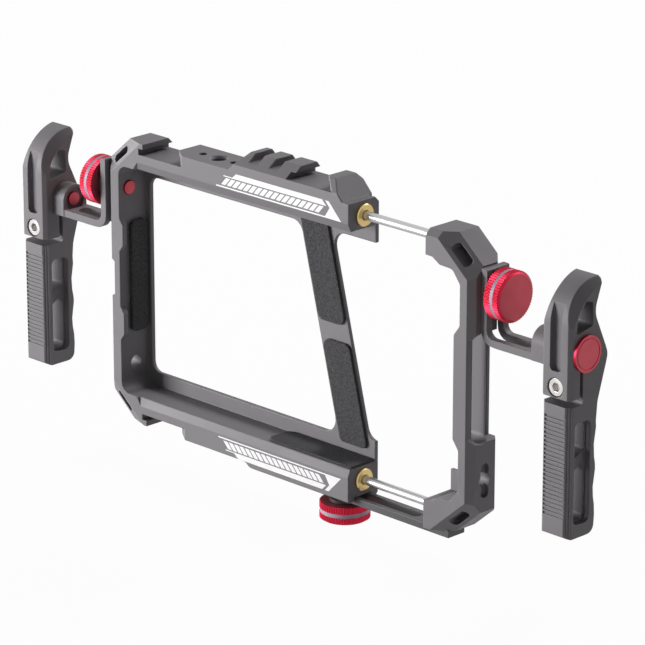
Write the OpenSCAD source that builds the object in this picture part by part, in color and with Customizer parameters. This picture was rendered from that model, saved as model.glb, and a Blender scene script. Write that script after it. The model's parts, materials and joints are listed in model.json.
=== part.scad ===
// Telescopic phone cage: a main frame and a sliding end frame joined by two guide rods,
// with an angle bracket, a clamping knob and a swivelling grip at each end.
// Millimetres. X runs along the cage, Y to the back, Z up.
// The origin is the mouth of the tripod socket under the main frame.

/* [Cage] */
// Depth of both frames, front to back
cage_depth = 14.8; // [14:0.1:18]
// Height between the upper and the lower accessory block
cage_height = 106.5; // [104:0.5:116]
// Height of the upper and of the lower bar
bar_h = 10.25; // [9.4:0.05:12]
// Thickness of the flange behind the phone
flange_t = 1.5; // [1.2:0.1:2.4]
// Run of the sloping right corners
corner_run = 11; // [9:0.5:13]
// Rise of the sloping right corners
corner_rise = 9.5; // [8:0.5:11]
// Inward set of the right corner facets on the front face
facet_set = 4.7; // [3.5:0.1:5.5]
// Depth of the right corner facets
facet_depth = 5.4; // [4:0.1:6.5]
// Run of the sloping left corners
left_run = 10.1; // [9:0.1:12]
// Rise of the sloping left corners
left_rise = 8.7; // [8:0.1:10]
// Inward set of the left corner facets on the front face
left_set = 5.3; // [4:0.1:5.6]
// Depth of the left corner facets
left_facet_depth = 2.8; // [2.4:0.1:5]
// Chamfer along the back edges of the left shoe lips
lip_chamfer = 2.2; // [1:0.1:2.4]
// Bevel along the upright outer edges
edge_bevel = 2.3; // [1:0.1:3]
// Length of the strap slots in the corners
strap_slot_l = 9; // [6:0.5:11]
// Width of the strap slots
strap_slot_w = 2.6; // [1.6:0.1:3]

/* [Main frame] */
// Tripod socket axis to the left side face
left_reach = 51; // [48:0.5:60]
// Tripod socket axis to the right end faces
right_reach = 71.5; // [70:0.5:80]
// Thickness of the left wall
wall_t = 6.5; // [5:0.1:8]
// Flange height under the upper bar
flange_top = 6.5; // [4:0.1:8]
// Flange height over the lower bar
flange_low = 5.3; // [4:0.1:8]
// Flange width beside the left wall
flange_left = 2.3; // [1.5:0.1:5]
// Where the brace meets the upper bar
brace_x = 33.2; // [28:0.1:38]
// Width of the sloping brace
brace_w = 15.3; // [12:0.1:17]
// Sideways lean of the brace for each millimetre of height
brace_lean = 0.25; // [0.1:0.01:0.26]
// Rise of the upper deck over the accessory block
deck_rise = 2.4; // [1.5:0.1:3]
// Drop of the clamp block under the accessory block
deck_drop = 2.1; // [2.1:0.1:3]
// Start of the upper deck
deck_x = 15; // [13:0.1:16]
// Centre of the first cross groove
groove_x = 23.2; // [22.5:0.1:24]
// Pitch of the cross grooves
groove_pitch = 10; // [8:0.1:10]
// Width of the cross grooves
groove_w = 4.2; // [3:0.1:5.2]
// Depth of the cross grooves
groove_depth = 2.8; // [1.5:0.1:3]

/* [Accessory points] */
// Centre of the left cold shoes
shoe_x = -24.3; // [-25:0.1:-22]
// Centre of the right cold shoe
deck_shoe_x = 50.4; // [49:0.1:51]
// Width of the shoe slot
shoe_w = 18.8; // [18.6:0.1:19.2]
// Height of the shoe slot
shoe_slot_h = 2.2; // [2.1:0.1:2.4]
// Clear width between the shoe lips
shoe_lip_gap = 14.2; // [12.7:0.1:14.6]
// Thickness of the shoe lips
shoe_lip_t = 2; // [1.6:0.1:2]
// Bore of the quarter-inch threads
socket_d = 5.2; // [5:0.1:5.6]
// Depth of the upper and lower sockets
socket_depth = 7.5; // [5:0.1:8]
// Chamfer at the mouth of the upper socket
socket_chamfer = 0.9; // [0.4:0.1:1.2]
// Spacing of the two locating holes
pin_spacing = 15.5; // [14:0.1:16]
// Diameter of the locating holes
pin_d = 3; // [2:0.1:3.5]
// Depth of the locating holes
pin_depth = 2.4; // [1.5:0.1:2.5]
// Height of the side sockets over the tripod socket
side_socket_z = 20; // [20:0.1:23]
// Length of the anti-twist slot across a side socket
twist_slot_l = 12.5; // [10:0.1:14]
// Width of the anti-twist slot
twist_slot_w = 4; // [3:0.1:4.6]
// Depth of the anti-twist slot
twist_slot_depth = 1.6; // [1:0.1:2]

/* [Slide frame] */
// Gap between the frames as shown
slide_gap = 36; // [35.5:0.5:42]
// Length of the slide frame, arm face to side face
slide_length = 21.3; // [20:0.1:26]
// Top of the slide frame under the upper accessory block
slide_top_set = 0.7; // [0.3:0.1:1.5]
// Thickness of the right post
post_t = 5.5; // [5:0.1:6]
// Inward step of the narrow middle of the post
waist_step = 2.6; // [1.5:0.1:3]
// Outward set of the narrow middle of the post
waist_set = 2; // [1:0.1:2.2]
// Length of the window through the post
post_slot_l = 40; // [30:0.5:40]
// Width of the window through the post
post_slot_w = 6.2; // [4.5:0.1:7]
// Depth offset of the window through the post
post_slot_y = -1.5; // [-2:0.1:0]

/* [Guide rods and rail] */
// Diameter of the guide rods
rod_d = 3.2; // [2.6:0.1:4]
// Set of the rods from the middle of the bars, towards the phone bay
rod_set = 0.1; // [0:0.05:0.3]
// Rod length inside the main frame
rod_engaged = 28; // [24:0.5:30]
// Rod length inside the slide frame
rod_held = 9; // [7:0.5:9]
// Outer diameter of the bush sleeves
bush_d = 6.2; // [5.6:0.1:6.6]
// Length of the bush sleeves
bush_l = 8; // [6:0.5:12]
// Diameter of the bush flanges
bush_flange_d = 8; // [7.2:0.1:8.4]
// Thickness of the bush flanges
bush_flange_t = 1.1; // [0.8:0.1:1.2]
// Longest closing travel of the slide frame
close_travel = 34.5; // [30:0.5:34.5]
// Longest opening travel of the slide frame
open_travel = 8; // [4:0.5:8]
// Width of the flat rail
rail_w = 8; // [7:0.1:9]
// Thickness of the flat rail
rail_t = 2.6; // [2.2:0.1:3]
// Underside of the slide frame below the tripod socket
rail_drop = 0.7; // [0.5:0.05:0.9]
// Rail length under the slide frame
rail_held = 8.6; // [8.4:0.1:10.2]

/* [Knobs] */
// Diameter of the knobs
knob_d = 18; // [16:0.1:20]
// Thickness of the knobs
knob_t = 6.6; // [6:0.1:8]
// Knurled band next to the clamped face
knob_band_t = 2.4; // [2:0.1:2.8]
// Width of the plain ring between the knurled bands
knob_ring_t = 1.5; // [1:0.1:1.8]
// Number of knurl teeth
knurl_count = 60; // [36:1:72]
// Depth of the knurl
knurl_depth = 0.35; // [0.2:0.05:0.5]
// Diameter of the threaded studs of the brackets
stud_d = 5; // [4:0.1:5]
// Diameter of the threaded stud of the lock
lock_stud_d = 4; // [3:0.1:4.4]
// Diameter of the knob washers
washer_d = 11; // [9:0.1:12]
// Thickness of the knob washers
washer_t = 1.2; // [0.8:0.1:2]
// Depth of the bracket studs under the top of the cage
stud_drop = 19.5; // [18.5:0.1:21]
// Lock knob axis to the right end faces
lock_inset = 8.8; // [8.8:0.1:12]

/* [Brackets] */
// Width of the bracket strip
bracket_w = 10.8; // [10:0.1:11.5]
// Thickness of the bracket strip
bracket_t = 2.6; // [2.2:0.1:3]
// Height of the left bracket over the right one as shown
left_lift = 1.2; // [0:0.1:2]
// Depth offset of the brackets, to the back on the right and to the front on the left
bracket_y = 2.4; // [1.5:0.1:2.4]
// Height of a bracket over its stud
bracket_rise = 8.8; // [8:0.1:10]
// Reach of the brackets from the side faces to the grips
bracket_reach = 28.6; // [26:0.1:34]
// Thickness of the pivot boss
boss_t = 5.8; // [4:0.1:6.5]
// Radius of the pivot boss
boss_r = 5.6; // [5.6:0.1:6.5]
// Width of the adjusting slot
adjust_slot_w = 5.4; // [5.3:0.1:5.8]
// Highest point of the adjusting slot over the stud axis
adjust_slot_rise = 6; // [5.5:0.1:6]
// Diameter of the pivot hub
hub_d = 9.6; // [8.5:0.1:10]
// Diameter of the pivot bolt head
pivot_head_d = 12.7; // [12:0.1:13.5]
// Thickness of the pivot bolt head
pivot_head_t = 1; // [0.8:0.1:2]
// Diameter of the pivot bolt shank
pivot_bolt_d = 5; // [4:0.1:5]

/* [Grips] */
// Thickness of the grips
grip_t = 13; // [11.5:0.1:14]
// Depth of the grip pivots under the bracket studs
pivot_drop = 12; // [11.5:0.1:13]
// Pivot axis to the front face of a grip
grip_front = 7.5; // [7:0.1:8]
// Forward set of the left grip on its pivot
left_grip_set = 2.1; // [0:0.1:2.4]
// Pivot axis to the rear edge of a grip
grip_rear = 5.5; // [5:0.1:6.5]
// Pivot axis to the lower end of a grip
grip_drop = 64; // [62:0.5:68]
// Bevel along the front edges of the lower half of a grip
grip_bevel = 2; // [1:0.1:3]
// Bevel along the front edges of the upper half of a grip
horn_bevel = 1.3; // [1:0.1:1.6]
// Width of the pocket in the front of the upper half of a grip
pocket_w = 5; // [4:0.1:5.4]
// Depth of that pocket
pocket_depth = 1.8; // [1:0.1:1.9]
// Radius of the horn at the upper end of a grip
horn_r = 15; // [14:0.1:16]
// Pivot axis to the centre of the horn curve
horn_z = 9.9; // [9.5:0.1:11]
// Height of the finger waves
wave_h = 0.5; // [0:0.1:0.6]
// Length of one finger wave
wave_l = 15; // [12:0.5:18]
// Number of ribs on the front of a grip
rib_count = 24; // [16:1:28]
// Pitch of the ribs
rib_pitch = 1.49; // [1.1:0.01:1.6]
// Depth of the grooves between the ribs
rib_depth = 0.5; // [0.2:0.05:0.6]
// Number of flutes along each front bevel of the lower half of a grip
flute_count = 2; // [1:1:3]
// Width of a flute
flute_w = 0.4; // [0.2:0.05:0.6]
// Depth of a flute
flute_depth = 0.3; // [0.1:0.05:0.4]
// Width of the windows through a grip
window_w = 6.8; // [5:0.1:7]
// Ledge of the long recess round the windows in each side of a grip
window_ledge = 0.5; // [0.3:0.05:0.6]
// Depth of that recess
window_recess = 2.6; // [1:0.1:4]
// Width of the clamp slit under the pivot
slit_w = 1.5; // [1:0.1:1.8]
// Diameter of the clamp screw heads
screw_head_d = 6; // [5:0.1:6.2]
// Diameter of the clamp screws
screw_d = 3.5; // [3:0.1:4]

/* [Pads] */
// Thickness of the floor and brace pads
pad_t = 1; // [0.6:0.1:1.2]
// Thickness of the side pad
side_pad_t = 1.6; // [1:0.1:2]
// Length of the floor pad
floor_pad_l = 42; // [30:0.5:48]
// Height of the wall pad
wall_pad_h = 42; // [30:0.5:44]
// Width of the wall pad
wall_pad_w = 8; // [6:0.1:8.4]

/* [Fits] */
// Running clearance on the radius of turning and sliding rods
running_gap = 0.04; // [0.02:0.01:0.08]
// Seat clearance on the radius of fixed round parts
seat_gap = 0.02; // [0.01:0.01:0.04]
// Clearance between flat faces that slide
slide_clearance = 0.15; // [0.1:0.01:0.25]
// Clearance around parts that pass through without touching
free_gap = 0.35; // [0.3:0.05:0.5]

/* [Hidden] */
$fn = 48;

mid_z = cage_height / 2;
bay_height = cage_height - 2 * bar_h;
stud_z = cage_height - stud_drop;
bracket_top_z = stud_z + bracket_rise;
pivot_z = stud_z - pivot_drop;
rod_inset = bar_h / 2 + rod_set;
floor_z = mid_z - bay_height / 2;
ceiling_z = mid_z + bay_height / 2;
front_y = -cage_depth / 2;
back_y = cage_depth / 2;
flange_y = back_y - flange_t;
left_x = -left_reach;
wall_x = left_x + wall_t;
arm_x = right_reach + slide_gap;
side_x = arm_x + slide_length;
post_x = side_x - post_t;
deck_z = cage_height + deck_rise;
shoe_depth = shoe_slot_h + shoe_lip_t;
raised_z = deck_z + shoe_depth;
slide_top = cage_height - slide_top_set;
slide_low = -rail_drop;
top_rod_z = cage_height - rod_inset;
low_rod_z = rod_inset;
rod_bore_l = rod_engaged + close_travel + 1;
lock_x = right_reach - lock_inset;
lock_z = slide_low - rail_t - slide_clearance;
rail_slot_w = lock_stud_d + 2 * free_gap;
rail_slot_l = close_travel + open_travel + rail_slot_w;
rail_slot_x = lock_x + (close_travel - open_travel) / 2;
rail_left_x = rail_slot_x - rail_slot_l / 2 - 4;
knob_x = bracket_t + 2 * slide_clearance + washer_t;
rail_screw_x = [2.2, 5.8];
screw_z = -11.6;
gap_z = -16.4;
gap_h = 2.4;
horn_y = horn_r - grip_front;
crescent_r = horn_r + 5;
crescent_y = horn_y + 5.4;
crescent_z = horn_z - 6.4;
crescent_slope = 1.3;
slit_y = -1.8;
window_y = -0.7;
grip_x = bracket_reach + slide_clearance;
big = 400;

// Points of a rounded corner at b between a and c
function corner_arc(a, b, c, r) =
    r == 0 ? [b] :
    let (
        u = (a - b) / norm(a - b),
        v = (c - b) / norm(c - b),
        half = acos(u * v) / 2,
        middle = b + (u + v) / norm(u + v) * r / sin(half),
        p = b + u * r / tan(half) - middle,
        q = b + v * r / tan(half) - middle,
        from = atan2(p[1], p[0]),
        turn = (atan2(q[1], q[0]) - from + 540) % 360 - 180
    )
    [for (i = [0:6]) middle + r * [cos(from + turn * i / 6), sin(from + turn * i / 6)]];

// Outline with rounded corners, each corner given as [x, y, radius]
function rounded(corners) =
    let (n = len(corners), p = [for (c = corners) [c[0], c[1]]])
    [for (i = [0:n - 1]) each corner_arc(p[(i + n - 1) % n], p[i], p[(i + 1) % n], corners[i][2])];

// Left edge of the brace at a height
function brace_left(z) = brace_x + (ceiling_z - z) * brace_lean;

// Extrudes an X-Z outline from y0 to y1
module across(y0, y1) {
    translate([0, y1, 0]) rotate([90, 0, 0]) linear_extrude(y1 - y0) children();
}

// Extrudes a Y-Z outline from x0 to x1
module along(x0, x1) {
    translate([x0, 0, 0]) rotate([90, 0, 90]) linear_extrude(x1 - x0) children();
}

// Round bar along X
module bar_x(x0, x1, d) {
    translate([x0, 0, 0]) rotate([0, 90, 0]) cylinder(h = x1 - x0, d = d);
}

// Round bar along Y
module bar_y(y0, y1, d) {
    translate([0, y1, 0]) rotate([90, 0, 0]) cylinder(h = y1 - y0, d = d);
}

// Slot outline with round ends, lengthwise along its first axis
module slot_outline(l, w) {
    square([l - w, w], center = true);
    for (s = [-1, 1]) translate([s * (l - w) / 2, 0]) circle(d = w);
}

// Draws the children and their mirror image about the middle height of the cage
module top_and_bottom() {
    children();
    translate([0, 0, cage_height]) mirror([0, 0, 1]) children();
}

// Facet and strap slot of an upper left corner whose slope starts at the origin
module corner_cut(run, rise, set, depth) {
    middle = norm([run, rise]) / 2;
    rotate([0, -atan2(rise, run), 0]) {
        translate([0, front_y, -set]) rotate([atan2(set, depth), 0, 0]) translate([-30, -30, 0])
            cube([80, 80, 40]);
        translate([middle, 0, -set / 2]) across(front_y - 1, back_y + 1)
            slot_outline(strap_slot_l, strap_slot_w);
    }
}

// Chamfer along the back of the upper edge from the left side to the shoe
module lip_cut() {
    side = lip_chamfer * sqrt(2);
    translate([(left_x + shoe_x) / 2, back_y, cage_height]) rotate([45, 0, 0])
        cube([shoe_x - left_x + 2, side, side], center = true);
}

// Bevels the upright edges of a side face at X = 0
module edge_cut() {
    for (y = [front_y, back_y]) {
        translate([0, y, mid_z]) rotate([0, 0, 45])
            cube([edge_bevel * sqrt(2), edge_bevel * sqrt(2), big], center = true);
    }
}

// Cold shoe open at the front, the top and the back, its lips at height z
module shoe_cut(x, z) {
    across(front_y - 1, back_y + 1) {
        translate([x - shoe_w / 2, z - shoe_depth]) square([shoe_w, shoe_slot_h]);
        translate([x - shoe_lip_gap / 2, z - shoe_depth]) square([shoe_lip_gap, shoe_depth + 10]);
    }
    translate([x + shoe_lip_gap / 2, front_y, z - shoe_depth]) linear_extrude(20)
        polygon([[-1, -1], [6.8, -1], [6.1, 0], [0, 4.4], [-1, 4.4]]);
}

// Threaded socket and locating holes in the upper block
module socket_cut() {
    translate([0, 0, cage_height - socket_depth]) cylinder(h = socket_depth + 1, d = socket_d);
    for (s = [-1, 1]) {
        translate([s * pin_spacing / 2, 0, cage_height - pin_depth]) cylinder(h = pin_depth + 1, d = pin_d);
    }
}

// Chamfered mouth of the upper socket
module socket_mouth() {
    translate([0, 0, cage_height - socket_chamfer])
        cylinder(h = socket_chamfer + 0.1, d1 = socket_d, d2 = socket_d + 2 * socket_chamfer + 0.2);
}

// Threaded side socket with an anti-twist slot, its outer face at X = 0 and the wall on +X
module side_socket_cut(through) {
    translate([0, 0, side_socket_z]) {
        bar_x(-1, through + 1, socket_d);
        along(-1, twist_slot_depth) rotate(90) slot_outline(twist_slot_l, twist_slot_w);
    }
}

// Outline of the post middle that is cut back from the outer face at X = 0
module waist_outline(half_l, depth, ramp) {
    polygon([[-1, -half_l - ramp], [0, -half_l - ramp], [depth, -half_l], [depth, half_l],
        [0, half_l + ramp], [-1, half_l + ramp]]);
}

// Sloping inner edge of a bar, from the front face back to the phone space, with a slanting start at x0
module inner_bevel(x0, x1) {
    intersection() {
        along(x0 - 1, x1)
            polygon([[front_y - 1, ceiling_z - 1], [front_y + 1.2, ceiling_z - 1], [front_y + 1.2, ceiling_z],
                [front_y, ceiling_z + 3], [front_y - 1, ceiling_z + 3]]);
        across(front_y - 2, front_y + 2)
            polygon([[x0 - 0.8, ceiling_z - 2], [x0 + 3.2, ceiling_z + 4], [x1 + 1, ceiling_z + 4],
                [x1 + 1, ceiling_z - 2]]);
    }
}

// Raised block on the deck from x0 to x1, its sloping front ending at depth y
module deck_block(outline, x0, x1, y) {
    intersection() {
        across(front_y, back_y) polygon(outline);
        along(x0, x1)
            polygon([[front_y, cage_height], [front_y, deck_z], [y, raised_z], [back_y - 1.6, raised_z],
                [back_y, raised_z - 2], [back_y, cage_height]]);
    }
}

// Raised deck on the right half of the upper bar, with the rail teeth and the end hump
module upper_deck() {
    end = right_reach - 3.2;
    hump = deck_shoe_x + shoe_lip_gap / 2;
    across(front_y, back_y)
        polygon([[deck_x - deck_rise, cage_height - 1], [deck_x - deck_rise, cage_height], [deck_x, deck_z],
            [right_reach - 7.5, deck_z], [end, cage_height], [end, cage_height - 1]]);
    deck_block([[deck_x, cage_height], [deck_x, deck_z], [deck_x + 3.5, raised_z], [hump, raised_z],
        [hump, cage_height]], deck_x - 1, hump, front_y + 5.4);
    deck_block([[deck_shoe_x, cage_height], [deck_shoe_x, raised_z], [right_reach - 9.5, raised_z],
        [end, cage_height]], deck_shoe_x, right_reach, front_y + 3.4);
}

// Clamp block under the right half of the lower bar
module lower_deck() {
    intersection() {
        across(front_y, back_y)
            polygon(rounded([[16, 0.5, 0], [16, 0, 0], [20, 0, 3], [23, -deck_drop, 0],
                [right_reach, -deck_drop, 0], [right_reach, 0.5, 0]]));
        along(0, right_reach + 1)
            polygon([[front_y, 1], [front_y, 0.6 - deck_drop], [front_y + 0.6, -deck_drop],
                [back_y - 0.6, -deck_drop], [back_y, 0.6 - deck_drop], [back_y, 1]]);
    }
}

// Cross grooves of the rail teeth with a hole in each
module tooth_cuts() {
    for (i = [0:1]) {
        translate([groove_x + i * groove_pitch, 0, raised_z - groove_depth]) {
            translate([-groove_w / 2, front_y - 1, 0]) cube([groove_w, cage_depth + 2, 10]);
            translate([0, 0, -2]) cylinder(h = 3, d = groove_w - 0.8);
        }
    }
}

// Windows in the flange on both sides of the brace
module flange_windows() {
    low = floor_z + flange_low;
    top = ceiling_z - flange_top;
    tab_low = floor_z + flange_low + 2;
    across(flange_y - 2, back_y + 1) {
        polygon(rounded([[wall_x + flange_left, low, 4], [brace_left(low), low, 5], [brace_left(top), top, 5],
            [wall_x + flange_left, top, 4]]));
        polygon(rounded([[brace_left(tab_low) + brace_w, tab_low, 5], [right_reach + 2, tab_low, 0],
            [right_reach + 2, top, 0], [brace_left(top) + brace_w, top, 5]]));
    }
}

// Two low ramps on the front edge of the left wall
module wall_ramps() {
    for (s = [-1, 1]) {
        translate([wall_x - 0.5, 0, mid_z + s * 16.8]) across(front_y, front_y + 2)
            polygon([[0, -6.2], [0.5, -6.2], [2.2, -4], [2.2, 4], [0.5, 6.2], [0, 6.2]]);
    }
}

module main_frame() color([0.42, 0.41, 0.43]) {
    difference() {
        union() {
            across(front_y, back_y)
                polygon([[left_x, left_rise], [left_x, cage_height - left_rise],
                    [left_x + left_run, cage_height], [right_reach, cage_height], [right_reach, 0],
                    [left_x + left_run, 0]]);
            upper_deck();
            lower_deck();
        }
        across(front_y - 1, flange_y)
            polygon(rounded([[wall_x, floor_z, 4], [right_reach + 1, floor_z, 0],
                [right_reach + 1, ceiling_z, 0], [wall_x, ceiling_z, 4]]));
        flange_windows();
        top_and_bottom() {
            translate([left_x, 0, cage_height - left_rise])
                corner_cut(left_run, left_rise, left_set, left_facet_depth);
            lip_cut();
            shoe_cut(shoe_x, cage_height);
            socket_cut();
            inner_bevel(wall_x + 7.5, right_reach + 1);
            translate([0, 0, top_rod_z]) {
                bar_x(right_reach - rod_bore_l, right_reach + 1, rod_d + 2 * free_gap);
                bar_x(right_reach - bush_l - free_gap, right_reach + 1, bush_d + 2 * seat_gap);
            }
        }
        socket_mouth();
        shoe_cut(deck_shoe_x, raised_z);
        translate([right_reach - 1.6, back_y, cage_height]) rotate([45, 0, 0])
            cube([3.2, 2.4, 2.4], center = true);
        tooth_cuts();
        translate([left_x, 0, 0]) {
            edge_cut();
            side_socket_cut(wall_t);
            translate([-1, -bracket_y, stud_z]) bar_x(0, wall_t + 2, stud_d + 2 * running_gap);
            translate([0, 0, mid_z]) across(front_y - 1, back_y + 1) waist_outline(6.2, 3.5, 2);
        }
        translate([rail_left_x - close_travel - 1, -rail_w / 2 - slide_clearance, -deck_drop - 1])
            cube([big, rail_w + 2 * slide_clearance, deck_drop + 1 + slide_low + slide_clearance]);
        translate([lock_x, 0, -deck_drop]) cylinder(h = deck_drop + 2.4, d = lock_stud_d + 2 * running_gap);
    }
    wall_ramps();
}

// Pad on the brace between two heights, rounded at its free end
module brace_pad(low, top, low_r, top_r) {
    left = 1.4;
    right = brace_w - 0.5;
    across(flange_y - pad_t, flange_y)
        polygon(rounded([[brace_left(low) + left, low, low_r], [brace_left(low) + right, low, low_r],
            [brace_left(top) + right, top, top_r], [brace_left(top) + left, top, top_r]]));
}

module brace_pad_upper() color([0.07, 0.07, 0.08]) brace_pad(mid_z + 3.2, ceiling_z - 1.6, 3, 1);

module brace_pad_lower() color([0.07, 0.07, 0.08]) brace_pad(floor_z + pad_t + 2.6, mid_z - 3, 2, 3);

module left_wall_pad() color([0.07, 0.07, 0.08]) {
    low = mid_z - wall_pad_h / 2;
    top = mid_z + wall_pad_h / 2;
    rear = flange_y - 0.8;
    front = rear - wall_pad_w;
    along(wall_x, wall_x + side_pad_t)
        polygon(rounded([[front, low, 2], [rear, low, 2], [rear, top, 2], [front, top, 2]]));
}

module bottom_pad() color([0.07, 0.07, 0.08]) {
    translate([0, 0, floor_z]) linear_extrude(pad_t)
        polygon(rounded([[right_reach - floor_pad_l, front_y + 1.6, 3], [right_reach, front_y + 1.6, 0],
            [right_reach, flange_y - 0.4, 0], [right_reach - floor_pad_l, flange_y - 0.4, 3]]));
}

// Flanged bush seated in an end face of the main frame
module bush(z) {
    bore = rod_d + 2 * running_gap;
    translate([right_reach, 0, z]) rotate([0, 90, 0]) rotate_extrude()
        polygon([[bore / 2, -bush_l], [bush_d / 2, -bush_l], [bush_d / 2, 0], [bush_flange_d / 2, 0],
            [bush_flange_d / 2, bush_flange_t - 0.3], [bush_flange_d / 2 - 0.3, bush_flange_t],
            [bore / 2 + 0.3, bush_flange_t], [bore / 2, bush_flange_t - 0.3]]);
}

module top_bush() color([0.78, 0.6, 0.3]) bush(top_rod_z);

module bottom_bush() color([0.78, 0.6, 0.3]) bush(low_rod_z);

// Upper half of the opening between the arms of the slide frame, from the arm face to the post
function arm_wave(s) = [
    [arm_x - 1, mid_z + s * (bay_height / 2 + 0.7), 0],
    [arm_x + 3.2, mid_z + s * (bay_height / 2 + 0.5), 2],
    [arm_x + 6.4, mid_z + s * (bay_height / 2 - 1.5), 2],
    [arm_x + 12.2, mid_z + s * (bay_height / 2 - 1.8), 2],
    [post_x, mid_z + s * (bay_height / 2 - 6.5), 2],
    [post_x, mid_z + s * 22, 1.5],
    [post_x - waist_step, mid_z + s * 18.5, 1.5]
];

// Reverses a list
function reversed(list) = [for (i = [len(list) - 1:-1:0]) list[i]];

module slide_frame() color([0.42, 0.41, 0.43]) {
    difference() {
        across(front_y, back_y) difference() {
            polygon([[arm_x, slide_low], [side_x - corner_run, slide_low], [side_x, slide_low + corner_rise],
                [side_x, slide_top - corner_rise], [side_x - corner_run, slide_top], [arm_x, slide_top]]);
            polygon(rounded(concat(arm_wave(1), reversed(arm_wave(-1)))));
        }
        translate([side_x, 0, slide_top - corner_rise]) mirror([1, 0, 0])
            corner_cut(corner_run, corner_rise, facet_set, facet_depth);
        translate([side_x, 0, slide_low + corner_rise]) mirror([1, 0, 0]) mirror([0, 0, 1])
            corner_cut(corner_run, corner_rise, facet_set, facet_depth);
        translate([side_x, 0, 0]) mirror([1, 0, 0]) {
            edge_cut();
            side_socket_cut(post_t);
            translate([-1, bracket_y, stud_z]) bar_x(0, post_t + 2, stud_d + 2 * running_gap);
            translate([0, 0, mid_z]) {
                across(front_y - 1, back_y + 1) waist_outline(17.5, waist_set, 2);
                along(-1, post_t + waist_step + 1) translate([post_slot_y, 0]) rotate(90)
                    slot_outline(post_slot_l, post_slot_w);
                linear_extrude(2 * (17.5 + waist_set), center = true)
                    polygon([[waist_set - 3, 2], [waist_set, 2], [waist_set + 5, back_y + 0.2],
                        [waist_set - 3, back_y + 1]]);
            }
        }
        for (z = [low_rod_z, top_rod_z]) {
            translate([arm_x, 0, z]) bar_x(-1, rod_held, rod_d + 2 * seat_gap);
            translate([arm_x + rod_held / 2, 0, z]) bar_y(0, back_y + 1, 3 + 2 * seat_gap);
        }
        for (x = rail_screw_x) {
            translate([arm_x + x, 0, slide_low - 1]) cylinder(h = 3.6, d = 2.6 + 2 * seat_gap);
        }
        translate([arm_x - 1, front_y, slide_top]) rotate([45, 0, 0]) cube([big, 3, 3], center = true);
    }
    slide_flange();
}

// Flange behind the phone on the slide frame
module slide_flange() {
    low = floor_z + flange_low + 1.5;
    top = ceiling_z - flange_top;
    across(flange_y, back_y) difference() {
        polygon([[arm_x, floor_z - 2], [post_x + 0.5, floor_z - 2], [post_x + 0.5, ceiling_z + 2],
            [arm_x, ceiling_z + 2]]);
        polygon(rounded([[arm_x - 1, low, 0], [post_x - flange_left, low, 4], [post_x - flange_left, top, 4],
            [arm_x - 1, top, 0]]));
    }
}

// Guide rod fixed in the slide frame
module rod(z) {
    translate([0, 0, z]) bar_x(right_reach - rod_engaged, arm_x + rod_held, rod_d);
}

module top_rod() color([0.85, 0.85, 0.87]) rod(top_rod_z);

module bottom_rod() color([0.85, 0.85, 0.87]) rod(low_rod_z);

module slide_rail() color([0.3, 0.29, 0.3]) {
    difference() {
        translate([rail_left_x, -rail_w / 2, slide_low - rail_t])
            cube([arm_x + rail_held - rail_left_x, rail_w, rail_t]);
        translate([rail_slot_x, 0, slide_low - rail_t - 1]) linear_extrude(rail_t + 2)
            slot_outline(rail_slot_l, rail_slot_w);
        for (x = rail_screw_x) translate([arm_x + x, 0, slide_low - rail_t]) {
            translate([0, 0, -1]) cylinder(h = rail_t + 2, d = 2.6 + 2 * seat_gap);
            cylinder(h = 1.4, d1 = 5.4, d2 = 2.6);
        }
    }
}

module rail_screws() color([0.75, 0.75, 0.77]) {
    for (x = rail_screw_x) translate([arm_x + x, 0, slide_low - rail_t]) {
        difference() {
            union() {
                cylinder(h = 1.3, d1 = 5.1, d2 = 2.5);
                cylinder(h = rail_t + 2.2, d = 2.6);
            }
            translate([0, 0, -1]) cylinder(h = 1.9, d = 1.7, $fn = 6);
        }
    }
}

module rod_set_screws() color([0.15, 0.15, 0.16]) {
    for (z = [low_rod_z, top_rod_z]) translate([arm_x + rod_held / 2, 0, z]) {
        difference() {
            bar_y(rod_d / 2 + seat_gap, back_y - 0.8, 3);
            translate([0, back_y, 0]) rotate([90, 0, 0]) cylinder(h = 2.6, d = 1.7, $fn = 6);
        }
    }
}

// Outline of a knurled disc
module knurl_outline(r) {
    polygon([for (i = [0:2 * knurl_count - 1])
        (r - (i % 2) * knurl_depth) * [cos(180 * i / knurl_count), sin(180 * i / knurl_count)]]);
}

// Knurled knob along +X for a stud of the given size, its clamped face at X = 0
module knob(bore) {
    r = knob_d / 2;
    ring_end = knob_band_t + knob_ring_t;
    edge = 0.6;
    rim = r - knurl_depth - 0.15;
    rotate([0, 90, 0]) difference() {
        union() {
            linear_extrude(knob_band_t) knurl_outline(r);
            cylinder(h = knob_t - edge, r = r - 2);
            translate([0, 0, ring_end]) linear_extrude(knob_t - edge - ring_end) knurl_outline(r);
            translate([0, 0, knob_t - edge]) cylinder(h = edge, r1 = rim, r2 = rim - edge);
        }
        translate([0, 0, -1]) cylinder(h = knob_t - 0.6, d = bore + 2 * seat_gap);
    }
}

// Plain ring between the knurled bands
module knob_ring() {
    rotate([0, 90, 0]) translate([0, 0, knob_band_t]) difference() {
        cylinder(h = knob_ring_t, r = knob_d / 2 - 0.25);
        translate([0, 0, -1]) cylinder(h = knob_ring_t + 2, r = knob_d / 2 - 2 + seat_gap);
    }
}

// Threaded stud along X from an inner end to the knob
module stud(inner, d) {
    bar_x(-inner, knob_t - 1.8, d);
}

// Washer under a knob that ends at X = 0
module washer(bore) {
    rotate([0, 90, 0]) translate([0, 0, -washer_t - slide_clearance]) difference() {
        cylinder(h = washer_t, d = washer_d);
        translate([0, 0, -1]) cylinder(h = washer_t + 2, d = bore + 2 * seat_gap);
    }
}

// Places the lock knob parts below the rail
module at_lock() {
    translate([lock_x, 0, lock_z - washer_t - slide_clearance]) rotate([0, 90, 0]) children();
}

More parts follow.
